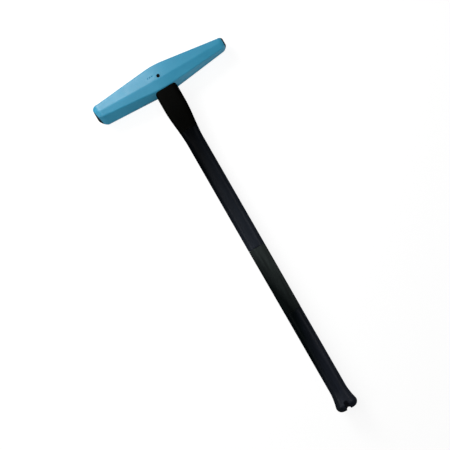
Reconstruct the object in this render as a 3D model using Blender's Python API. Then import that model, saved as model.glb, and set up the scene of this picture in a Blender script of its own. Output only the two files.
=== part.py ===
"""Post driver: a long two-faced steel maul head on a jacketed fibreglass handle.

The tool lies on its side. X runs along the head from its large face (-X) to its small face (+X),
Y runs along the handle from the butt (-Y) to the head (+Y), and Z is up through the tool's thickness.
The origin is under the middle of the handle's length, on the surface that the tool lies on.
"""

import math

import bmesh
import bpy
from mathutils import Vector

# Whole tool, in metres
LENGTH = 0.900
TOP = LENGTH / 2
BUTT = -LENGTH / 2
GAP = 0.0003

# Head: an eight-sided bar that tapers from its crest, over the handle, to each end
HEAD_HALF_LENGTH = 0.1686
CREST_HALF = 0.024
HEAD_BEVEL = 0.0012
HEAD_LEFT_END = -0.152
HEAD_RIGHT_END = 0.157
# Each edge of the section is given at the left end, the crest and the right end. The first four are
# heights along Y, and the last three are half widths along Z.
ROOF = (0.4355, 0.4500, 0.4304)
UPPER_EDGE = (0.4183, 0.4162, 0.4191)
LOWER_EDGE = (0.4049, 0.3924, 0.4044)
FLOOR = (0.3838, 0.3786, 0.3981)
CHEEK_HALF = (0.0250, 0.0290, 0.0160)
ROOF_HALF = (0.0190, 0.0172, 0.0121)
FLOOR_HALF = (0.0052, 0.0152, 0.0103)
CHEEK_TO_CENTRE = CHEEK_HALF[1]
# Crown of each striking face: (share of the end's length, scale of the section)
CROWN = ((0.50, 0.88), (0.86, 0.66), (1.00, 0.48))
LARGE_FACE_Y = 0.4155
SMALL_FACE_Y = 0.4155

# Eye of the head, an oval that is narrowest half way through
EYE_MOUTH = (0.0370, 0.0280)
EYE_WAIST = (0.0325, 0.0255)
EYE_WAIST_Y = 0.4150

# Handle: widths along X and depths along Z
CORE_SIZE = (0.0280, 0.0226)
CORE_BOTTOM = -0.4160
CORE_TOP = 0.4484
RESIN_BOTTOM = 0.3800
JACKET_SIZE = (0.0412, 0.0360)
NECK_SIZE = (0.0356, 0.0304)
LOWER_JACKET_SIZE = (0.0404, 0.0354)
GUARD_SIZE = (0.0547, 0.0574)
SWELL_START = 0.252
SWELL_END = 0.347
GUARD_SEAM = 0.2839
GUARD_LIP = 0.3938
GUARD_LIP_ROUND = 0.0012
JACKET_TOP = 0.3760
GRIP_TOP = -0.0266
GRIP_BOTTOM = -0.1929
HANDLE_POWER = 2.3
GUARD_POWER = 5.5
SIDES = 40

# Flared and slotted butt
FLARE_START = -0.398
FLARE_WIDEST = -0.436
FLARE_SIZE = (0.0524, 0.0460)
FLARE_POWER = 1.7
BUTT_FACE_SIZE = (0.0270, 0.0210)
SLOT_WIDTH = 0.0105
SLOT_MOUTH = -0.4245
SLOT_SADDLE = -0.4455

# Cross pin that locks the handle in the eye
PIN_Y = 0.4228
PIN_HOLE_RADIUS = 0.0043
PIN_RADIUS = 0.0040
PIN_CHAMFER = 0.0008
PIN_HALF_LENGTH = 0.0165


def clear_scene():
    for old in list(bpy.data.objects):
        bpy.data.objects.remove(old, do_unlink=True)


def material(name, colour, roughness, metallic=0.0):
    made = bpy.data.materials.new(name)
    made.use_nodes = True
    shader = made.node_tree.nodes["Principled BSDF"]
    shader.inputs["Base Color"].default_value = (*colour, 1.0)
    shader.inputs["Roughness"].default_value = roughness
    shader.inputs["Metallic"].default_value = metallic
    return made


def skin(name, rings, closed=False):
    """One solid through rings of equally many points. A closed one joins its last ring to its first."""
    mesh = bmesh.new()
    loops = [[mesh.verts.new(point) for point in ring] for ring in rings]
    pairs = list(zip(loops, loops[1:]))
    if closed:
        pairs.append((loops[-1], loops[0]))
    else:
        mesh.faces.new(loops[0])
        mesh.faces.new(loops[-1])
    for low, high in pairs:
        for i in range(len(low)):
            j = (i + 1) % len(low)
            mesh.faces.new((low[i], low[j], high[j], high[i]))
    bmesh.ops.recalc_face_normals(mesh, faces=mesh.faces)
    data = bpy.data.meshes.new(name)
    mesh.to_mesh(data)
    mesh.free()
    return data


def place(name, data, parent, look, crease=40):
    """Puts a mesh in the scene under the tool's empty, shaded smooth between its sharp edges."""
    data.shade_smooth()
    data.set_sharp_from_angle(angle=math.radians(crease))
    thing = bpy.data.objects.new(name, data)
    bpy.context.scene.collection.objects.link(thing)
    thing.parent = parent
    if look is not None:
        data.materials.append(look)
    return thing


def cutter(name, data, parent):
    thing = place(name, data, parent, None)
    thing.hide_render = True
    thing.display_type = "WIRE"
    return thing


def cut(thing, tool):
    boolean = thing.modifiers.new("cut_" + tool.name, "BOOLEAN")
    boolean.operation = "DIFFERENCE"
    boolean.solver = "EXACT"
    boolean.object = tool


def smooth_step(value, low, high):
    share = min(max((value - low) / (high - low), 0.0), 1.0)
    return share * share * (3 - 2 * share)


def between(pair_a, pair_b, share):
    return tuple(a + (b - a) * share for a, b in zip(pair_a, pair_b))


def grown(pair, margin):
    """A size with the same margin added on every side."""
    return tuple(side + 2 * margin for side in pair)


# ---- Head -----------------------------------------------------------------------------------------


def along_head(values, x):
    """A value of the section at x: straight to each end, and a parabola across the rounded crest."""
    left, crest, right = values
    rise = (crest - left) / -HEAD_LEFT_END
    fall = (crest - right) / HEAD_RIGHT_END
    if abs(rise + fall) < 1e-9:
        return crest
    apex = crest + CREST_HALF * rise * fall / (rise + fall)
    if x < -CREST_HALF:
        return apex + (apex - left) * x / -HEAD_LEFT_END
    if x > CREST_HALF:
        return apex - (apex - right) * x / HEAD_RIGHT_END
    left_slope = (apex - left) / -HEAD_LEFT_END
    right_slope = (apex - right) / HEAD_RIGHT_END
    total = left_slope + right_slope
    return apex - total * CREST_HALF / 4 + (left_slope - right_slope) * x / 2 - total * x * x / (4 * CREST_HALF)


def head_section(x, margin=0.0):
    """The eight corners of the head's section at x, each moved out by the margin."""
    roof = along_head(ROOF, x) + margin
    upper = along_head(UPPER_EDGE, x) + margin / 2
    lower = along_head(LOWER_EDGE, x) - margin / 2
    floor = along_head(FLOOR, x) - margin
    cheek = along_head(CHEEK_HALF, x) + margin
    roof_half = along_head(ROOF_HALF, x) + margin / 2
    floor_half = along_head(FLOOR_HALF, x) + margin / 2
    front = [(roof, roof_half), (upper, cheek), (lower, cheek), (floor, floor_half)]
    back = [(y, -z) for y, z in reversed(front)]
    return [Vector((x, y, z)) for y, z in front + back]


def crown(end_x, tip_x, face_y):
    """The rings that close an end: the section shrinks towards the middle of the striking face."""
    rings = []
    section = head_section(end_x)
    middle = sum((corner.y for corner in section), 0.0) / len(section)
    for share, scale in CROWN:
        centre = middle + (face_y - middle) * share
        x = end_x + (tip_x - end_x) * share
        rings.append([Vector((x, centre + (c.y - middle) * scale, c.z * scale)) for c in section])
    return rings


def head_body(name, margin=0.0):
    inner = [CREST_HALF * step / 4 for step in range(-4, 5)]
    stations = [HEAD_LEFT_END] + inner + [HEAD_RIGHT_END]
    rings = [head_section(x, margin) for x in stations]
    left = crown(HEAD_LEFT_END, -HEAD_HALF_LENGTH - margin, LARGE_FACE_Y)
    right = crown(HEAD_RIGHT_END, HEAD_HALF_LENGTH + margin, SMALL_FACE_Y)
    return skin(name, left[::-1] + rings + right)


def eye_size(y):
    """Size of the eye at height y: it flares as a parabola from its waist to both mouths."""
    reach = (y - EYE_WAIST_Y) / (TOP - EYE_WAIST_Y)
    return between(EYE_WAIST, EYE_MOUTH, min(reach * reach, 1.0))


def build_head(tool, pin_drill, look):
    head = place("head", head_body("head"), tool, look, crease=15)
    bevel = head.modifiers.new("soft_edges", "BEVEL")
    bevel.width = HEAD_BEVEL
    bevel.segments = 2
    bevel.limit_method = "ANGLE"
    bevel.angle_limit = math.radians(14)
    low = FLOOR[1] - 0.006
    high = TOP + 0.006
    steps = [low + (high - low) * i / 8 for i in range(9)]
    rings = [oval(y, eye_size(y), 2.0) for y in steps]
    cut(head, cutter("eye_cutter", skin("eye_cutter", rings), tool))
    cut(head, pin_drill)
    return head


# ---- Handle ---------------------------------------------------------------------------------------


def oval(y, size, power, sides=SIDES):
    """A ring round the handle's axis: an ellipse at power 2, and squarer above it."""
    ring = []
    for i in range(sides):
        angle = 2 * math.pi * i / sides
        across = math.copysign(abs(math.cos(angle)) ** (2 / power), math.cos(angle))
        up = math.copysign(abs(math.sin(angle)) ** (2 / power), math.sin(angle))
        ring.append(Vector((size[0] / 2 * across, y, size[1] / 2 * up)))
    return ring


def sleeve(name, outer, inner):
    """A tube between two lists of rings, both given from the same end."""
    return skin(name, outer + inner[::-1], closed=True)


def swell_ring(y, margin=0.0):
    """The outside of the handle where it swells from the jacket up to the guard."""
    share = smooth_step(y, SWELL_START, SWELL_END)
    power = HANDLE_POWER + (GUARD_POWER - HANDLE_POWER) * share
    return oval(y, grown(between(JACKET_SIZE, GUARD_SIZE, share), margin), power)


def build_core(tool, pin_drill, look):
    rings = [oval(y, CORE_SIZE, 2.0) for y in (CORE_BOTTOM, CORE_TOP)]
    core = place("handle_core", skin("handle_core", rings), tool, look)
    cut(core, pin_drill)
    return core


def build_resin(tool, pin_drill, look):
    steps = [RESIN_BOTTOM + (CORE_TOP - RESIN_BOTTOM) * i / 8 for i in range(9)]
    outer = [oval(y, grown(eye_size(y), -GAP), 2.0) for y in steps]
    inner = [oval(y, grown(CORE_SIZE, GAP), 2.0) for y in (steps[0], steps[-1])]
    resin = place("eye_resin", sleeve("eye_resin", outer, inner), tool, look)
    cut(resin, pin_drill)
    return resin


def build_guard(tool, look):
    steps = [GUARD_SEAM + (SWELL_END - GUARD_SEAM) * i / 8 for i in range(9)]
    outer = [swell_ring(y) for y in steps]
    outer.append(swell_ring(GUARD_LIP - GUARD_LIP_ROUND))
    outer.append(swell_ring(GUARD_LIP, -GUARD_LIP_ROUND))
    bore = grown(NECK_SIZE, GAP)
    inner = [oval(y, bore, HANDLE_POWER) for y in (GUARD_SEAM, GUARD_LIP)]
    guard = place("strike_guard", sleeve("strike_guard", outer, inner), tool, look)
    cut(guard, cutter("head_clearance", head_body("head_clearance", GAP), tool))
    return guard


def build_upper_jacket(tool, look):
    shoulder = GUARD_SEAM - GAP
    steps = [SWELL_START + (shoulder - SWELL_START) * i / 4 for i in range(5)]
    grip_edge = GRIP_TOP + GAP
    outer = [oval(GRIP_BOTTOM + GAP, NECK_SIZE, HANDLE_POWER), oval(grip_edge, NECK_SIZE, HANDLE_POWER)]
    outer.append(oval(grip_edge, JACKET_SIZE, HANDLE_POWER))
    outer += [swell_ring(y) for y in steps]
    outer.append(oval(shoulder, NECK_SIZE, HANDLE_POWER))
    outer.append(oval(JACKET_TOP, NECK_SIZE, HANDLE_POWER))
    bore = grown(CORE_SIZE, GAP)
    inner = [oval(y, bore, 2.0) for y in (GRIP_BOTTOM + GAP, JACKET_TOP)]
    return place("upper_jacket", sleeve("upper_jacket", outer, inner), tool, look)


def build_grip(tool, look):
    bore = grown(NECK_SIZE, GAP)
    ends = (GRIP_BOTTOM, GRIP_TOP)
    outer = [oval(ends[0], between(LOWER_JACKET_SIZE, JACKET_SIZE, 0.3), HANDLE_POWER)]
    outer.append(oval(ends[1], JACKET_SIZE, HANDLE_POWER))
    inner = [oval(y, bore, HANDLE_POWER) for y in ends]
    return place("mid_grip", sleeve("mid_grip", outer, inner), tool, look)


def butt_ring(y):
    """The flared butt: it widens by a power curve, then rounds over to its end face."""
    if y > FLARE_WIDEST:
        share = max((FLARE_START - y) / (FLARE_START - FLARE_WIDEST), 0.0) ** FLARE_POWER
        return oval(y, between(LOWER_JACKET_SIZE, FLARE_SIZE, share), HANDLE_POWER)
    fall = min((FLARE_WIDEST - y) / (FLARE_WIDEST - BUTT), 1.0)
    share = math.sqrt(1 - fall * fall)
    return oval(y, between(BUTT_FACE_SIZE, FLARE_SIZE, share), HANDLE_POWER)


def slot_ring(z, steps=10):
    """The slot's outline at depth z: open past the butt's end, with a saddle for a cord as its floor."""
    radius = SLOT_WIDTH / 2
    reach = min(abs(z) / (FLARE_SIZE[1] / 2), 1.0)
    centre = SLOT_SADDLE + (SLOT_MOUTH - SLOT_SADDLE) * reach * reach - radius
    arc = [math.pi * i / steps for i in range(steps + 1)]
    points = [(radius * math.cos(angle), centre + radius * math.sin(angle)) for angle in arc]
    points += [(-radius, BUTT - 0.01), (radius, BUTT - 0.01)]
    return [Vector((x, y, z)) for x, y in points]


def build_lower_jacket(tool, look):
    top = GRIP_BOTTOM - GAP
    flare = [FLARE_START + (FLARE_WIDEST - FLARE_START) * i / 5 for i in range(6)]
    turns = [math.pi / 2 * i / 6 for i in range(1, 7)]
    rounded = [FLARE_WIDEST + (BUTT - FLARE_WIDEST) * math.sin(turn) for turn in turns]
    outer = [butt_ring(y) for y in flare + rounded]
    bore = grown(CORE_SIZE, GAP)
    inner = [oval(y, bore, 2.0) for y in (top, CORE_BOTTOM - GAP)]
    rings = outer[::-1] + [oval(top, LOWER_JACKET_SIZE, HANDLE_POWER)] + inner
    jacket = place("lower_jacket", skin("lower_jacket", rings), tool, look)
    half = FLARE_SIZE[1] / 2
    slot = [slot_ring(half * step / 6) for step in range(-7, 8)]
    cut(jacket, cutter("slot_cutter", skin("slot_cutter", slot), tool))
    return jacket


# ---- Cross pin ------------------------------------------------------------------------------------


def circle(radius, z, sides=24):
    ring = []
    for i in range(sides):
        angle = 2 * math.pi * i / sides
        ring.append(Vector((radius * math.cos(angle), PIN_Y + radius * math.sin(angle), z)))
    return ring


def pin_cutter(tool):
    reach = CHEEK_TO_CENTRE + 0.005
    rings = [circle(PIN_HOLE_RADIUS, z) for z in (-reach, reach)]
    return cutter("pin_drill", skin("pin_drill", rings), tool)


def build_pin(tool, look):
    """A plain dowel, chamfered at both ends and driven well below the head's surface."""
    shoulder = PIN_HALF_LENGTH - PIN_CHAMFER
    tip = PIN_RADIUS - PIN_CHAMFER
    rings = [circle(tip, -PIN_HALF_LENGTH), circle(PIN_RADIUS, -shoulder)]
    rings += [circle(PIN_RADIUS, shoulder), circle(tip, PIN_HALF_LENGTH)]
    return place("retaining_pin", skin("retaining_pin", rings), tool, look)


def main():
    clear_scene()
    tool = bpy.data.objects.new("post_driver", None)
    bpy.context.scene.collection.objects.link(tool)
    tool.location = (0, 0, CHEEK_TO_CENTRE)
    paint = material("blue_enamel", (0.09, 0.34, 0.50), 0.38)
    plastic = material("black_polypropylene", (0.012, 0.015, 0.020), 0.42)
    elastomer = material("black_elastomer", (0.014, 0.014, 0.011), 0.72)
    grip = material("grey_black_grip", (0.020, 0.023, 0.022), 0.85)
    glass = material("fibreglass", (0.55, 0.50, 0.33), 0.45)
    epoxy = material("black_epoxy", (0.02, 0.02, 0.022), 0.30)
    steel = material("blackened_steel", (0.03, 0.03, 0.03), 0.45, 1.0)
    pin_drill = pin_cutter(tool)
    build_head(tool, pin_drill, paint)
    build_resin(tool, pin_drill, epoxy)
    build_core(tool, pin_drill, glass)
    build_pin(tool, steel)
    build_guard(tool, elastomer)
    build_upper_jacket(tool, plastic)
    build_grip(tool, grip)
    build_lower_jacket(tool, plastic)


main()
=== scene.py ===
"""Looks of the post driver: an enamelled steel maul head on a black jacketed fibreglass handle.

X runs along the head to its small face, Y along the handle to the head, and Z up through the tool,
which lies on the floor at Z = 0. Lengths are metres.
"""

import math

import bmesh
import bpy
from mathutils import Matrix, Vector


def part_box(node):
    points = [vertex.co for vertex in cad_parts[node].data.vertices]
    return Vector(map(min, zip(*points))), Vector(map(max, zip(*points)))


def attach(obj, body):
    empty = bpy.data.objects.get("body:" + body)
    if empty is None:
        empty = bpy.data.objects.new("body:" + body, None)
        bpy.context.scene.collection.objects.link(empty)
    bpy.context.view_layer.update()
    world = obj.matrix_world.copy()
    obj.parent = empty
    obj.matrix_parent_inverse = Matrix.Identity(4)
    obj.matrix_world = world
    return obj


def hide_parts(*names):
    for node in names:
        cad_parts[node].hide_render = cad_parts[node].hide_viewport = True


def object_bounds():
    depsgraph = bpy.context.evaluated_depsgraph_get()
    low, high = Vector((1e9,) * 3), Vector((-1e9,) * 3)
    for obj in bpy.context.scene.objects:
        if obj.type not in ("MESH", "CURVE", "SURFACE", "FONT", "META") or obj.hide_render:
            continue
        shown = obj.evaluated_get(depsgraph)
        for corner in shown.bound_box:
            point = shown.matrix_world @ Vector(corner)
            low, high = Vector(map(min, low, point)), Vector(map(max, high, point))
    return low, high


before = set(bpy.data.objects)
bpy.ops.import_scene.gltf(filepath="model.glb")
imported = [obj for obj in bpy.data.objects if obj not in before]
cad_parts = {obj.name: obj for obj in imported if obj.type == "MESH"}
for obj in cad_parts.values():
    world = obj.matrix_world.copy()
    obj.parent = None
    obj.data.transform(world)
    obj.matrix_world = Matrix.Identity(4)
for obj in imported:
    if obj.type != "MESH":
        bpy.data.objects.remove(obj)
CAD_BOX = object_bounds()

# Measures taken from the frame
HEAD_LOW, HEAD_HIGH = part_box("head")
AXIS_Z = (HEAD_LOW.z + HEAD_HIGH.z) / 2
GUARD_LOW, GUARD_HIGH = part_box("strike_guard")
GRIP_LOW, GRIP_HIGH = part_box("mid_grip")
LOWER_JACKET_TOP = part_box("lower_jacket")[1].y
CORE_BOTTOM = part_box("handle_core")[0].y
PIN_LOW, PIN_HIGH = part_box("retaining_pin")
TOP = 0.450
GAP = 0.0003

# Head: each edge of the eight-sided section at its left end, crest and right end, as in the solid
HEAD_LEFT_END = -0.152
HEAD_RIGHT_END = 0.157
CREST_HALF = 0.024
ROOF = (0.4355, 0.4500, 0.4304)
UPPER_EDGE = (0.4183, 0.4162, 0.4191)
LOWER_EDGE = (0.4049, 0.3924, 0.4044)
FLOOR = (0.3838, 0.3786, 0.3981)
CHEEK_HALF = (0.0250, 0.0290, 0.0160)
ROOF_HALF = (0.0190, 0.0172, 0.0121)
FLOOR_HALF = (0.0052, 0.0152, 0.0103)
# Crown of each striking face: (share of the end's length, scale of the section)
CROWN = ((0.15, 0.982), (0.30, 0.952), (0.45, 0.905), (0.60, 0.845), (0.74, 0.766), (0.80, 0.726))
CROWN += ((0.87, 0.665), (0.93, 0.60), (0.97, 0.545), (1.00, 0.48))
FACE_Y = 0.4155
# Where the paint stops at each end: a point on the edge's plane, and the side that is bare
LEFT_PAINT_EDGE = ((-0.1660, FACE_Y, 0.0), (-1.0, -0.20, 0.0))
RIGHT_PAINT_EDGE = ((0.1655, FACE_Y, 0.0), (1.0, 0.0, 0.0))
EDGE_ROUND = 0.0027
EDGE_STEPS = 5
EDGE_LIMIT = 0.42
CREST_STEPS = 20
ARM_STEPS = 12
EYE_MOUTH = (0.0370, 0.0280)
EYE_WAIST = (0.0325, 0.0255)
EYE_WAIST_Y = 0.4150

# Handle
HANDLE_POWER = 2.3
GUARD_POWER = 5.5
JACKET_SIZE = (0.0412, 0.0360)
NECK_SIZE = (0.0356, 0.0304)
LOWER_JACKET_SIZE = (0.0404, 0.0354)
GUARD_SIZE = (0.0547, 0.0574)
CORE_SIZE = (0.0280, 0.0226)
SWELL_START = 0.252
SWELL_END = 0.347
LIP_RISE = 0.0003
LIP_TOP = 0.0022
RIM_ROUND = 0.0022
JACKET_UNDER_GUARD = 0.0175
JACKET_EDGE = 0.0006
SHOULDER_EDGE = 0.0007
GRIP_EDGE = 0.0008
FLARE_START = -0.398
FLARE_WIDEST = -0.436
FLARE_SIZE = (0.0524, 0.0460)
FLARE_POWER = 1.7
BUTT_FACE_SIZE = (0.0270, 0.0210)
BUTT = -0.450
SLOT_WIDTH = 0.0105
SLOT_MOUTH = -0.4245
SLOT_SADDLE = -0.4455
PIN_Y = (PIN_LOW.y + PIN_HIGH.y) / 2
PIN_HOLE_RADIUS = 0.0043
DRILL_REACH = 0.05
DOTS = 3
DOT_X = -0.0235
DOT_Y = 0.4290
DOT_STEP = 0.0052
DOT_RADIUS = 0.0026
DOT_DEPTH = 0.0009
SIDES = 96

# Camera: straight above, with the handle turned in the picture
CAMERA_TURN = math.radians(-29.87)
CAMERA_DISTANCE = 5.0
CAMERA_AIM = (-0.0371, 0.0538)
VIEW_WIDTH = 1.0251
SENSOR_WIDTH = 36.0

# Lights, ground and backdrop
HEAD_AIM = (0.0, 0.30, 0.03)
HANDLE_AIM = (0.0, -0.12, 0.03)
FLOOR_REACH = 12.0
FLOOR_DROP = 0.001
FLOOR_TONE = 0.22
FLOOR_GLOW = 0.91
WORLD_LIGHT = 0.02
BACKDROP = 0.95


# ---- Mesh tools -----------------------------------------------------------------------------------


def skin(rings, closed=False):
    """A solid through rings of equally many points, as a bmesh with outward faces."""
    mesh = bmesh.new()
    loops = [[mesh.verts.new(point) for point in ring] for ring in rings]
    pairs = list(zip(loops, loops[1:]))
    if closed:
        pairs.append((loops[-1], loops[0]))
    else:
        mesh.faces.new(loops[0])
        mesh.faces.new(loops[-1])
    for low, high in pairs:
        for i in range(len(low)):
            j = (i + 1) % len(low)
            mesh.faces.new((low[i], low[j], high[j], high[i]))
    bmesh.ops.recalc_face_normals(mesh, faces=mesh.faces)
    return mesh


def make_object(name, mesh, crease=38):
    data = bpy.data.meshes.new(name)
    mesh.to_mesh(data)
    mesh.free()
    data.transform(Matrix.Translation((0, 0, AXIS_Z)))
    data.shade_smooth()
    data.set_sharp_from_angle(angle=math.radians(crease))
    thing = bpy.data.objects.new(name, data)
    bpy.context.scene.collection.objects.link(thing)
    return thing


def cut(thing, tool_mesh):
    """Takes a solid away from an object, for good."""
    tool = make_object("tool", tool_mesh)
    boolean = thing.modifiers.new("cut", "BOOLEAN")
    boolean.operation = "DIFFERENCE"
    boolean.solver = "EXACT"
    boolean.object = tool
    apply_modifiers(thing)
    bpy.data.objects.remove(tool)


def weight_normals(thing):
    """Keeps broad flats flat: shading follows the larger faces, and rounded edges turn between them."""
    weighted = thing.modifiers.new("weighted_normals", "WEIGHTED_NORMAL")
    weighted.keep_sharp = True
    apply_modifiers(thing)


def apply_modifiers(thing):
    depsgraph = bpy.context.evaluated_depsgraph_get()
    made = bpy.data.meshes.new_from_object(thing.evaluated_get(depsgraph))
    old = thing.data
    thing.modifiers.clear()
    thing.data = made
    bpy.data.meshes.remove(old)


def smooth_shade(thing, crease):
    thing.data.shade_smooth()
    thing.data.set_sharp_from_angle(angle=math.radians(crease))


def stands_for(thing, slot, *nodes):
    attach(thing, "root")
    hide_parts(*nodes)


def smooth_step(value, low, high):
    share = min(max((value - low) / (high - low), 0.0), 1.0)
    return share * share * (3 - 2 * share)


def between(pair_a, pair_b, share):
    return tuple(a + (b - a) * share for a, b in zip(pair_a, pair_b))


def grown(pair, margin):
    return tuple(side + 2 * margin for side in pair)


def spaced(low, high, count):
    return [low + (high - low) * i / count for i in range(count + 1)]


def oval(y, size, power, sides=SIDES):
    """A ring round the handle's axis: an ellipse at power 2, and squarer above it."""
    ring = []
    for i in range(sides):
        angle = 2 * math.pi * i / sides
        across = math.copysign(abs(math.cos(angle)) ** (2 / power), math.cos(angle))
        up = math.copysign(abs(math.sin(angle)) ** (2 / power), math.sin(angle))
        ring.append(Vector((size[0] / 2 * across, y, size[1] / 2 * up)))
    return ring


# ---- Materials ------------------------------------------------------------------------------------


class Look:
    """A Principled material with short ways to add procedural detail."""

    def __init__(self, name, colour, roughness, metallic=0.0, specular=0.5):
        self.made = bpy.data.materials.new(name)
        self.made.use_nodes = True
        self.nodes = self.made.node_tree.nodes
        self.links = self.made.node_tree.links
        self.shader = self.nodes["Principled BSDF"]
        self.shader.inputs["Base Color"].default_value = (*colour, 1.0)
        self.shader.inputs["Roughness"].default_value = roughness
        self.shader.inputs["Metallic"].default_value = metallic
        self.shader.inputs["Specular IOR Level"].default_value = specular
        self.coords = self.nodes.new("ShaderNodeTexCoord").outputs["Object"]

    def noise(self, scale, detail=3.0, roughness=0.5, stretch=None):
        texture = self.nodes.new("ShaderNodeTexNoise")
        texture.inputs["Scale"].default_value = scale
        texture.inputs["Detail"].default_value = detail
        texture.inputs["Roughness"].default_value = roughness
        self.links.new(self.stretched(stretch), texture.inputs["Vector"])
        return texture.outputs["Fac"]

    def cells(self, scale):
        texture = self.nodes.new("ShaderNodeTexVoronoi")
        texture.inputs["Scale"].default_value = scale
        self.links.new(self.coords, texture.inputs["Vector"])
        return texture.outputs["Distance"]

    def stretched(self, stretch):
        if stretch is None:
            return self.coords
        mapping = self.nodes.new("ShaderNodeMapping")
        mapping.inputs["Scale"].default_value = stretch
        self.links.new(self.coords, mapping.inputs["Vector"])
        return mapping.outputs["Vector"]

    def ramp(self, source, stops):
        made = self.nodes.new("ShaderNodeValToRGB")
        points = made.color_ramp.elements
        while len(points) < len(stops):
            points.new(0.5)
        for point, (position, colour) in zip(points, stops):
            point.position = position
            point.color = (*colour, 1.0)
        self.links.new(source, made.inputs["Fac"])
        return made.outputs["Color"]

    def span(self, source, low, high, to_low=0.0, to_high=1.0):
        made = self.nodes.new("ShaderNodeMapRange")
        made.inputs["From Min"].default_value = low
        made.inputs["From Max"].default_value = high
        made.inputs["To Min"].default_value = to_low
        made.inputs["To Max"].default_value = to_high
        self.links.new(source, made.inputs["Value"])
        return made.outputs["Result"]

    def mix(self, share, low, high):
        made = self.nodes.new("ShaderNodeMix")
        made.data_type = "RGBA"
        for value, key in ((share, "Factor"), (low, "A"), (high, "B")):
            socket = [s for s in made.inputs if s.name == key and s.enabled][0]
            if isinstance(value, tuple):
                socket.default_value = (*value, 1.0)
            else:
                self.links.new(value, socket)
        return [s for s in made.outputs if s.enabled][0]

    def maths(self, operation, first, second):
        made = self.nodes.new("ShaderNodeMath")
        made.operation = operation
        for value, socket in ((first, made.inputs[0]), (second, made.inputs[1])):
            if isinstance(value, float):
                socket.default_value = value
            else:
                self.links.new(value, socket)
        return made.outputs["Value"]

    def axis(self, index):
        made = self.nodes.new("ShaderNodeSeparateXYZ")
        self.links.new(self.coords, made.inputs["Vector"])
        return made.outputs[index]

    def colour_from(self, source):
        self.links.new(source, self.shader.inputs["Base Color"])

    def roughness_from(self, source):
        self.links.new(source, self.shader.inputs["Roughness"])

    def specular_from(self, source):
        self.links.new(source, self.shader.inputs["Specular IOR Level"])

    def bump_from(self, sources):
        """Bump from (height, distance in metres, strength) layers."""
        normal = None
        for height, distance, strength in sources:
            made = self.nodes.new("ShaderNodeBump")
            made.inputs["Distance"].default_value = distance
            made.inputs["Strength"].default_value = strength
            self.links.new(height, made.inputs["Height"])
            if normal is not None:
                self.links.new(normal, made.inputs["Normal"])
            normal = made.outputs["Normal"]
        self.links.new(normal, self.shader.inputs["Normal"])


def enamel_look():
    """Light-blue enamel over forged steel: mottled and specked, with a faint orange-peel surface."""
    look = Look("blue_enamel", (0.031, 0.272, 0.434), 0.40)
    broad = look.noise(14.0, 3.0, 0.55)
    tint = look.ramp(broad, ((0.30, (0.027, 0.256, 0.412)), (0.70, (0.036, 0.288, 0.456))))
    specks = look.span(look.noise(420.0, 2.0, 0.6), 0.66, 0.74)
    look.colour_from(look.mix(specks, tint, (0.048, 0.315, 0.48)))
    look.roughness_from(look.span(look.noise(60.0, 3.0, 0.6), 0.3, 0.7, 0.34, 0.44))
    peel = look.noise(700.0, 2.0, 0.5)
    hammer = look.noise(90.0, 3.0, 0.5)
    look.bump_from(((peel, 0.0002, 0.12), (hammer, 0.0008, 0.10)))
    return look.made


def bare_steel_look():
    """Ground and heat-darkened striking face, with fine scratches and scuffs."""
    look = Look("dark_steel", (0.04, 0.04, 0.042), 0.42, 0.85)
    scuff = look.noise(160.0, 4.0, 0.65)
    look.colour_from(look.ramp(scuff, ((0.35, (0.022, 0.022, 0.024)), (0.72, (0.075, 0.072, 0.070)))))
    look.roughness_from(look.span(scuff, 0.3, 0.75, 0.32, 0.58))
    look.bump_from(((look.noise(900.0, 3.0, 0.6, (1.0, 6.0, 1.0)), 0.0002, 0.35),))
    return look.made


def along_handle(look, heights, tones, spread, painted_light_slant):
    """A tone that shifts down the handle, slanted across it, and mottled by the spread either way. The
    shift and the slant are painted light, a painted highlight and painted shade; the mottle is random
    tone.
    """
    # the height leans across the handle by the slant, so the painted light is paler on one side
    height = look.maths("SUBTRACT", look.axis(1), look.maths("MULTIPLY", look.axis(0), painted_light_slant))
    share = look.span(height, *heights)
    mottle = look.noise(50.0, 4.0, 0.6, (5.0, 0.4, 5.0))
    dark = [tuple(value * (1 - spread) for value in tone) for tone in tones]
    pale = [tuple(value * (1 + spread) for value in tone) for tone in tones]
    blend = look.span(mottle, 0.32, 0.70)
    look.colour_from(look.mix(blend, look.mix(share, *dark), look.mix(share, *pale)))
    return share, mottle


def plastic_look(name, heights, tones, painted_light_slant):
    """Moulded black polypropylene with a painted sheen: its tone turns paler towards each jacket's lower
    end and on one side, and its gloss rises the same way.
    """
    look = Look(name, tones[1], 0.36)
    share, rubs = along_handle(look, heights, tones, 0.22, painted_light_slant)
    look.specular_from(look.span(share, 0.0, 1.0, 0.05, 0.18))
    look.roughness_from(look.span(rubs, 0.3, 0.7, 0.31, 0.42))
    texture = look.noise(1500.0, 2.0, 0.5)
    sink = look.noise(70.0, 2.0, 0.5)
    look.bump_from(((texture, 0.0001, 0.25), (sink, 0.0004, 0.06)))
    return look.made


def rubber_look(name, heights, tones, grain, depth, specular, painted_light_slant):
    """Moulded elastomer: pebbled grain with dust held in it, and a tone shift along and across the handle
    that is painted light, on the grip only; the guard's two tones are the same.
    """
    look = Look(name, tones[1], 0.62, specular=specular)
    dust = along_handle(look, heights, tones, 0.30, painted_light_slant)[1]
    look.roughness_from(look.span(dust, 0.3, 0.7, 0.52, 0.72))
    look.bump_from(((look.cells(grain), depth, 0.5), (look.noise(120.0, 3.0, 0.5), 0.0006, 0.08)))
    return look.made


def fibre_look():
    """Cut end of a pultruded rod: pale resin with the ends of the glass strands."""
    look = Look("fibreglass_rod", (0.55, 0.50, 0.33), 0.5)
    strands = look.cells(1400.0)
    look.colour_from(look.ramp(strands, ((0.15, (0.62, 0.57, 0.40)), (0.60, (0.34, 0.30, 0.18)))))
    look.bump_from(((strands, 0.0002, 0.4),))
    return look.made


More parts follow.
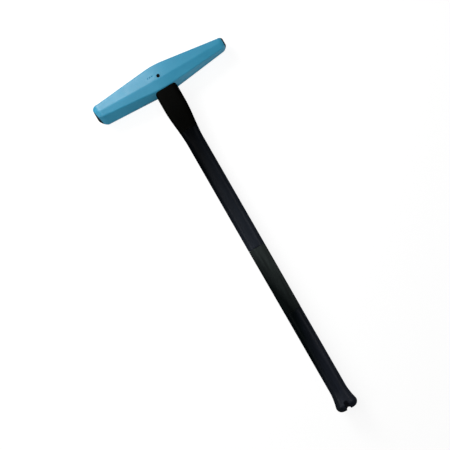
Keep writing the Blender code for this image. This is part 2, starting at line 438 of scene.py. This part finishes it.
def epoxy_look():
    look = Look("black_epoxy", (0.012, 0.012, 0.014), 0.22)
    ripple = look.noise(220.0, 3.0, 0.5)
    look.roughness_from(look.span(ripple, 0.3, 0.7, 0.16, 0.34))
    look.bump_from(((ripple, 0.0006, 0.35),))
    return look.made


def pin_look():
    look = Look("blackened_spring_steel", (0.02, 0.02, 0.021), 0.45, 1.0)
    brush = look.noise(700.0, 3.0, 0.6, (1.0, 1.0, 0.1))
    look.colour_from(look.ramp(brush, ((0.3, (0.012, 0.012, 0.013)), (0.7, (0.030, 0.029, 0.028)))))
    look.roughness_from(look.span(brush, 0.3, 0.7, 0.3, 0.5))
    return look.made


# ---- Head -----------------------------------------------------------------------------------------


def along_head(values, x):
    """A value of the section at x: straight to each end, and a parabola across the rounded crest."""
    left, crest, right = values
    rise = (crest - left) / -HEAD_LEFT_END
    fall = (crest - right) / HEAD_RIGHT_END
    if abs(rise + fall) < 1e-9:
        return crest
    apex = crest + CREST_HALF * rise * fall / (rise + fall)
    if x < -CREST_HALF:
        return apex + (apex - left) * x / -HEAD_LEFT_END
    if x > CREST_HALF:
        return apex - (apex - right) * x / HEAD_RIGHT_END
    left_slope = (apex - left) / -HEAD_LEFT_END
    right_slope = (apex - right) / HEAD_RIGHT_END
    total = left_slope + right_slope
    lean = (left_slope - right_slope) * x / 2
    return apex - total * CREST_HALF / 4 + lean - total * x * x / (4 * CREST_HALF)


def head_section(x, margin=0.0):
    roof = along_head(ROOF, x) + margin
    upper = along_head(UPPER_EDGE, x) + margin / 2
    lower = along_head(LOWER_EDGE, x) - margin / 2
    floor = along_head(FLOOR, x) - margin
    cheek = along_head(CHEEK_HALF, x) + margin
    roof_half = along_head(ROOF_HALF, x) + margin / 2
    floor_half = along_head(FLOOR_HALF, x) + margin / 2
    front = [(roof, roof_half), (upper, cheek), (lower, cheek), (floor, floor_half)]
    back = [(y, -z) for y, z in reversed(front)]
    return [Vector((x, y, z)) for y, z in front + back]


def rounded(section, reach=EDGE_ROUND, steps=EDGE_STEPS):
    """A ring whose corners are replaced by curves that leave each side at the same reach."""
    ring = []
    for i, corner in enumerate(section):
        ahead = section[(i + 1) % len(section)] - corner
        behind = section[i - 1] - corner
        start = corner + behind * min(reach / behind.length, EDGE_LIMIT)
        end = corner + ahead * min(reach / ahead.length, EDGE_LIMIT)
        for step in range(steps + 1):
            t = step / steps
            ring.append(start * (1 - t) ** 2 + corner * 2 * t * (1 - t) + end * t * t)
    return ring


def crown(end_x, tip_x, edge=None):
    """The rings that close an end: the section shrinks towards the middle of the striking face."""
    rings = []
    section = head_section(end_x) if edge is None else edge(head_section(end_x))
    middle = sum((corner.y for corner in section), 0.0) / len(section)
    for share, scale in CROWN:
        centre = middle + (FACE_Y - middle) * share
        x = end_x + (tip_x - end_x) * share
        rings.append([Vector((x, centre + (c.y - middle) * scale, c.z * scale)) for c in section])
    return rings


def head_rings(margin=0.0, edge=None):
    left_arm = spaced(HEAD_LEFT_END, -CREST_HALF, ARM_STEPS)[:-1]
    crest = spaced(-CREST_HALF, CREST_HALF, CREST_STEPS)
    right_arm = spaced(CREST_HALF, HEAD_RIGHT_END, ARM_STEPS)[1:]
    sections = [head_section(x, margin) for x in left_arm + crest + right_arm]
    if edge is not None:
        sections = [edge(section) for section in sections]
    left = crown(HEAD_LEFT_END, HEAD_LOW.x - margin, edge)
    right = crown(HEAD_RIGHT_END, HEAD_HIGH.x + margin, edge)
    return left[::-1] + sections + right


def eye_size(y):
    reach = (y - EYE_WAIST_Y) / (TOP - EYE_WAIST_Y)
    return between(EYE_WAIST, EYE_MOUTH, min(reach * reach, 1.0))


def pin_drill():
    rings = []
    turns = [2 * math.pi * i / 48 for i in range(48)]
    circle = [(PIN_HOLE_RADIUS * math.cos(turn), PIN_HOLE_RADIUS * math.sin(turn)) for turn in turns]
    for z in (-DRILL_REACH, DRILL_REACH):
        rings.append([Vector((x, PIN_Y + y, z)) for x, y in circle])
    return skin(rings)


def stamped_dots():
    """Three plain punch marks beside the pin hole, shallow cups in the upper front facet."""
    dots = []
    for i in range(DOTS):
        x = DOT_X + DOT_STEP * i
        upper = along_head(UPPER_EDGE, x)
        cheek = along_head(CHEEK_HALF, x)
        fall = (cheek - along_head(ROOF_HALF, x)) / (along_head(ROOF, x) - upper)
        surface = cheek - fall * (DOT_Y - upper)
        ball = bmesh.new()
        bmesh.ops.create_icosphere(ball, subdivisions=3, radius=DOT_RADIUS)
        bmesh.ops.translate(ball, verts=ball.verts, vec=(x, DOT_Y, surface + DOT_RADIUS - DOT_DEPTH))
        dots.append(ball)
    return dots


def bare_ends(head):
    """Cuts the paint's edges into the mesh and gives the bare steel beyond them the second material."""
    mesh = bmesh.new()
    mesh.from_mesh(head.data)
    for point, outward in (LEFT_PAINT_EDGE, RIGHT_PAINT_EDGE):
        origin = Vector(point)
        normal = Vector(outward)
        parts = mesh.verts[:] + mesh.edges[:] + mesh.faces[:]
        bmesh.ops.bisect_plane(mesh, geom=parts, dist=1e-6, plane_co=origin, plane_no=normal)
        for face in mesh.faces:
            if (face.calc_center_median() - origin).dot(normal) > 0:
                face.material_index = 1
    mesh.to_mesh(head.data)
    mesh.free()


def build_head(enamel, steel):
    """The forging: rounded edges, the eye, the pin hole, and bare steel where the faces strike."""
    head = make_object("maul_head", skin(head_rings(edge=rounded)))
    eye = skin([oval(y, eye_size(y), 2.0) for y in spaced(FLOOR[1] - 0.008, TOP + 0.008, 14)])
    cut(head, eye)
    cut(head, pin_drill())
    for dot in stamped_dots():
        cut(head, dot)
    head.data.materials.clear()
    head.data.materials.append(enamel)
    head.data.materials.append(steel)
    bare_ends(head)
    smooth_shade(head, 30)
    weight_normals(head)
    stands_for(head, "head", "head")
    return head


# ---- Handle ---------------------------------------------------------------------------------------


def sleeve(outer, inner):
    return skin(outer + inner[::-1], closed=True)


def swell_size(y):
    share = smooth_step(y, SWELL_START, SWELL_END)
    return between(JACKET_SIZE, GUARD_SIZE, share), HANDLE_POWER + (GUARD_POWER - HANDLE_POWER) * share


def swell_ring(y, margin=0.0):
    size, power = swell_size(y)
    return oval(y, grown(size, margin), power)


def rounded_end(y, inward, radius, ring, steps=4):
    """Rings that round an outer edge over: from the full size to the end face at y."""
    turns = [math.pi / 2 * i / steps for i in range(steps + 1)]
    return [ring(y + inward * radius * (1 - math.sin(a)), -radius * (1 - math.cos(a))) for a in turns]


def build_guard(look):
    """The rubber guard: moulded to the underside of the head, with a thin lip at its lower end."""
    seam = GUARD_LOW.y
    lip = rounded_end(seam, 1, SHOULDER_EDGE, lambda y, margin: swell_ring(y, margin + LIP_RISE))
    band = [swell_ring(seam + LIP_TOP, LIP_RISE), swell_ring(seam + LIP_TOP + 0.0008)]
    body = [swell_ring(y) for y in spaced(seam + 0.005, SWELL_END, 22)]
    rim = rounded_end(GUARD_HIGH.y, -1, RIM_ROUND, swell_ring)
    outer = lip[::-1] + band + body + rim
    bore = grown(NECK_SIZE, GAP)
    inner = [oval(y, bore, HANDLE_POWER) for y in (seam, GUARD_HIGH.y)]
    guard = make_object("guard_sleeve", sleeve(outer, inner))
    cut(guard, skin(head_rings(GAP)))
    guard.data.materials.append(look)
    smooth_shade(guard, 35)
    stands_for(guard, "guard", "strike_guard")
    return guard


def build_upper_jacket(look):
    """The upper jacket, with a reduced neck under the guard at its top and under the grip below."""
    bottom = GRIP_HIGH.y + GAP
    shoulder = GUARD_LOW.y - GAP
    top = GUARD_HIGH.y - JACKET_UNDER_GUARD
    size = lambda y, margin: oval(y, grown(JACKET_SIZE, margin), HANDLE_POWER)
    edge = rounded_end(bottom, 1, JACKET_EDGE, size)
    outer = [oval(GRIP_LOW.y + GAP, NECK_SIZE, HANDLE_POWER), oval(bottom, NECK_SIZE, HANDLE_POWER)]
    outer += edge[::-1]
    outer += [oval(y, JACKET_SIZE, HANDLE_POWER) for y in spaced(bottom + 0.004, SWELL_START, 10)[:-1]]
    outer += [swell_ring(y) for y in spaced(SWELL_START, shoulder - 0.001, 8)]
    outer += rounded_end(shoulder, -1, SHOULDER_EDGE, swell_ring)
    outer += [oval(y, NECK_SIZE, HANDLE_POWER) for y in (shoulder, top)]
    bore = grown(CORE_SIZE, GAP)
    inner = [oval(y, bore, 2.0) for y in (GRIP_LOW.y + GAP, top)]
    jacket = make_object("upper_shaft", sleeve(outer, inner))
    jacket.data.materials.append(look)
    smooth_shade(jacket, 35)
    stands_for(jacket, "jacket", "upper_jacket")
    return jacket


def build_grip(look):
    """The soft grip between the jackets, with a rounded edge at each end."""
    low, high = GRIP_LOW.y, GRIP_HIGH.y
    small = between(LOWER_JACKET_SIZE, JACKET_SIZE, 0.3)

    def ring(y, margin):
        size = between(small, JACKET_SIZE, (y - low) / (high - low))
        return oval(y, grown(size, margin), HANDLE_POWER)

    bottom = rounded_end(low, 1, GRIP_EDGE, ring)[::-1]
    top = rounded_end(high, -1, GRIP_EDGE, ring)
    body = [ring(y, 0.0) for y in spaced(low + 0.002, high - 0.002, 40)]
    bore = grown(NECK_SIZE, GAP)
    inner = [oval(y, bore, HANDLE_POWER) for y in (low, high)]
    grip = make_object("grip_sleeve", sleeve(bottom + body + top, inner))
    grip.data.materials.append(look)
    smooth_shade(grip, 35)
    stands_for(grip, "grip", "mid_grip")
    return grip


def butt_ring(y):
    if y > FLARE_WIDEST:
        share = max((FLARE_START - y) / (FLARE_START - FLARE_WIDEST), 0.0) ** FLARE_POWER
        return oval(y, between(LOWER_JACKET_SIZE, FLARE_SIZE, share), HANDLE_POWER)
    fall = min((FLARE_WIDEST - y) / (FLARE_WIDEST - BUTT), 1.0)
    share = math.sqrt(1 - fall * fall)
    return oval(y, between(BUTT_FACE_SIZE, FLARE_SIZE, share), HANDLE_POWER)


def slot_ring(z):
    """The slot's outline at depth z: open past the butt's end, with a saddle for a cord as its floor."""
    radius = SLOT_WIDTH / 2
    reach = min(abs(z) / (FLARE_SIZE[1] / 2), 1.0)
    centre = SLOT_SADDLE + (SLOT_MOUTH - SLOT_SADDLE) * reach * reach - radius
    arc = [math.pi * i / 24 for i in range(25)]
    points = [(radius * math.cos(angle), centre + radius * math.sin(angle)) for angle in arc]
    points += [(-radius, BUTT - 0.01), (radius, BUTT - 0.01)]
    return [Vector((x, y, z)) for x, y in points]


def build_lower_jacket(look):
    """The lower jacket: closed over the core's end at the flared butt, which the slot crosses."""
    top = LOWER_JACKET_TOP
    size = lambda y, margin: oval(y, grown(LOWER_JACKET_SIZE, margin), HANDLE_POWER)
    straight = [oval(y, LOWER_JACKET_SIZE, HANDLE_POWER) for y in spaced(FLARE_START, top - 0.004, 10)[1:]]
    flare = [butt_ring(y) for y in spaced(FLARE_WIDEST, FLARE_START, 14)]
    turns = [math.pi / 2 * i / 10 for i in range(1, 11)]
    knob = [butt_ring(FLARE_WIDEST + (BUTT - FLARE_WIDEST) * math.sin(turn)) for turn in turns]
    outer = knob[::-1] + flare + straight + rounded_end(top, -1, JACKET_EDGE, size)
    bore = grown(CORE_SIZE, GAP)
    inner = [oval(y, bore, 2.0) for y in (top, CORE_BOTTOM - GAP)]
    jacket = make_object("butt_shaft", skin(outer + inner))
    half = FLARE_SIZE[1] / 2
    cut(jacket, skin([slot_ring(half * step / 16) for step in range(-18, 19)]))
    jacket.data.materials.append(look)
    smooth_shade(jacket, 35)
    stands_for(jacket, "jacket", "lower_jacket")
    return jacket


def finish_hidden(fibre, epoxy, pin):
    """The solids that stay as they are get their materials."""
    for node, look in (("handle_core", fibre), ("eye_resin", epoxy), ("retaining_pin", pin)):
        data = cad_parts[node].data
        data.materials.clear()
        data.materials.append(look)


# ---- Studio ---------------------------------------------------------------------------------------


def build_floor():
    """A glowing white ground that the tool doesn't mirror, so its dark sides stay dark."""
    look = Look("pale_floor", (FLOOR_TONE, FLOOR_TONE, FLOOR_TONE), 0.9, specular=0.0)
    look.shader.inputs["Emission Color"].default_value = (1.0, 1.0, 1.0, 1.0)
    look.shader.inputs["Emission Strength"].default_value = FLOOR_GLOW
    mesh = bmesh.new()
    bmesh.ops.create_grid(mesh, x_segments=1, y_segments=1, size=FLOOR_REACH)
    data = bpy.data.meshes.new("floor")
    mesh.to_mesh(data)
    mesh.free()
    data.materials.append(look.made)
    floor = bpy.data.objects.new("floor", data)
    bpy.context.scene.collection.objects.link(floor)
    floor.location.z = CAD_BOX[0].z - FLOOR_DROP
    floor.visible_glossy = False


def softbox(name, heading, height, reach, size, power, aim=HEAD_AIM, lit=None):
    """A light that looks at a point from a heading, counted from X, and a height, both in degrees.

    It falls on everything, or only on the objects of the collection lit.
    """
    turn = math.radians(heading)
    rise = math.radians(height)
    towards = Vector((math.cos(rise) * math.cos(turn), math.cos(rise) * math.sin(turn), math.sin(rise)))
    place = Vector(aim) + towards * reach
    light = bpy.data.lights.new(name, "AREA")
    light.shape = "RECTANGLE"
    light.size, light.size_y = size
    light.energy = power
    lamp = bpy.data.objects.new(name, light)
    bpy.context.scene.collection.objects.link(lamp)
    lamp.location = place
    lamp.rotation_euler = (-towards).to_track_quat("-Z", "Y").to_euler()
    if lit is not None:
        lamp.light_linking.receiver_collection = lit


def build_world():
    """A white backdrop for the camera that gives the tool next to no light."""
    world = bpy.data.worlds.new("studio")
    bpy.context.scene.world = world
    world.use_nodes = True
    tree = world.node_tree
    seen = tree.nodes.new("ShaderNodeLightPath").outputs["Is Camera Ray"]
    strength = tree.nodes.new("ShaderNodeMapRange")
    strength.inputs["To Min"].default_value = WORLD_LIGHT
    strength.inputs["To Max"].default_value = BACKDROP
    tree.links.new(seen, strength.inputs["Value"])
    tree.links.new(strength.outputs["Result"], tree.nodes["Background"].inputs["Strength"])
    tree.nodes["Background"].inputs["Color"].default_value = (1.0, 1.0, 1.0, 1.0)


def build_lights(head, handle):
    """Softboxes round the tool. Three fall on the head alone, and one on the handle alone."""
    only_head = bpy.data.collections.new("only_head")
    only_head.objects.link(head)
    only_handle = bpy.data.collections.new("only_handle")
    for piece in handle:
        only_handle.objects.link(piece)
    square = (0.85, 0.85)
    softbox("key", 110, 35, 1.6, square, 20.5)
    softbox("near", 125, 20, 0.8, (0.4, 0.4), 0.9)
    softbox("high", 155, 62, 1.6, square, 4.6)
    softbox("top", 90, 88, 1.8, square, 1.6)
    softbox("right", 335, 15, 1.6, square, 6.7, lit=only_head)
    softbox("left", 185, 18, 1.6, square, 3.6, lit=only_head)
    softbox("low", 290, 15, 1.6, square, 3.4, lit=only_head)
    softbox("handle", 180, 40, 1.2, (0.5, 0.3), 1.6, aim=HANDLE_AIM)
    softbox("across", 0, 45, 1.2, (0.8, 0.3), 1.6, aim=HANDLE_AIM, lit=only_handle)


def build_camera():
    data = bpy.data.cameras.new("camera")
    data.sensor_fit = "HORIZONTAL"
    data.sensor_width = SENSOR_WIDTH
    data.lens = SENSOR_WIDTH * CAMERA_DISTANCE / VIEW_WIDTH
    data.clip_end = 50.0
    camera = bpy.data.objects.new("camera", data)
    bpy.context.scene.collection.objects.link(camera)
    camera.location = (CAMERA_AIM[0], CAMERA_AIM[1], AXIS_Z + CAMERA_DISTANCE)
    camera.rotation_euler = (0.0, 0.0, CAMERA_TURN)
    bpy.context.scene.camera = camera


def main():
    build_camera()
    build_floor()
    bpy.context.scene.view_settings.view_transform = "Standard"
    head = build_head(enamel_look(), bare_steel_look())
    guard_tones = ((0.0010, 0.0011, 0.0007), (0.0010, 0.0011, 0.0007))
    # Grip tones, top and bottom: painted light, paler at the top, darker at the bottom and slanted across
    # by the grip's slant
    grip_painted_light = ((0.030, 0.038, 0.037), (0.002, 0.004, 0.004))
    # Jacket tones, top and bottom: a painted sheen, near black at each jacket's top and paler at its lower
    # end
    upper_painted_sheen = ((0.0010, 0.0016, 0.0024), (0.016, 0.021, 0.031))
    lower_painted_sheen = ((0.0008, 0.0026, 0.0032), (0.017, 0.021, 0.032))
    guard_span = (GUARD_HIGH.y, GUARD_LOW.y)
    grip_span = (GRIP_HIGH.y, GRIP_LOW.y)
    upper_span = (SWELL_START, GRIP_HIGH.y)
    lower_span = (GRIP_LOW.y, FLARE_START)
    # The last argument of each look leans its painted light across the handle; the guard's tones are
    # equal, so it carries none
    guard_rubber = rubber_look("guard_rubber", guard_span, guard_tones, 900.0, 0.0001, 0.04, 0.0)
    grip_rubber = rubber_look("grip_rubber", grip_span, grip_painted_light, 700.0, 0.0002, 0.05, -4.8)
    upper_plastic = plastic_look("upper_polypropylene", upper_span, upper_painted_sheen, 4.5)
    lower_plastic = plastic_look("lower_polypropylene", lower_span, lower_painted_sheen, 7.0)
    handle = [build_guard(guard_rubber), build_grip(grip_rubber)]
    handle += [build_upper_jacket(upper_plastic), build_lower_jacket(lower_plastic)]
    build_world()
    build_lights(head, handle)
    finish_hidden(fibre_look(), epoxy_look(), pin_look())


main()
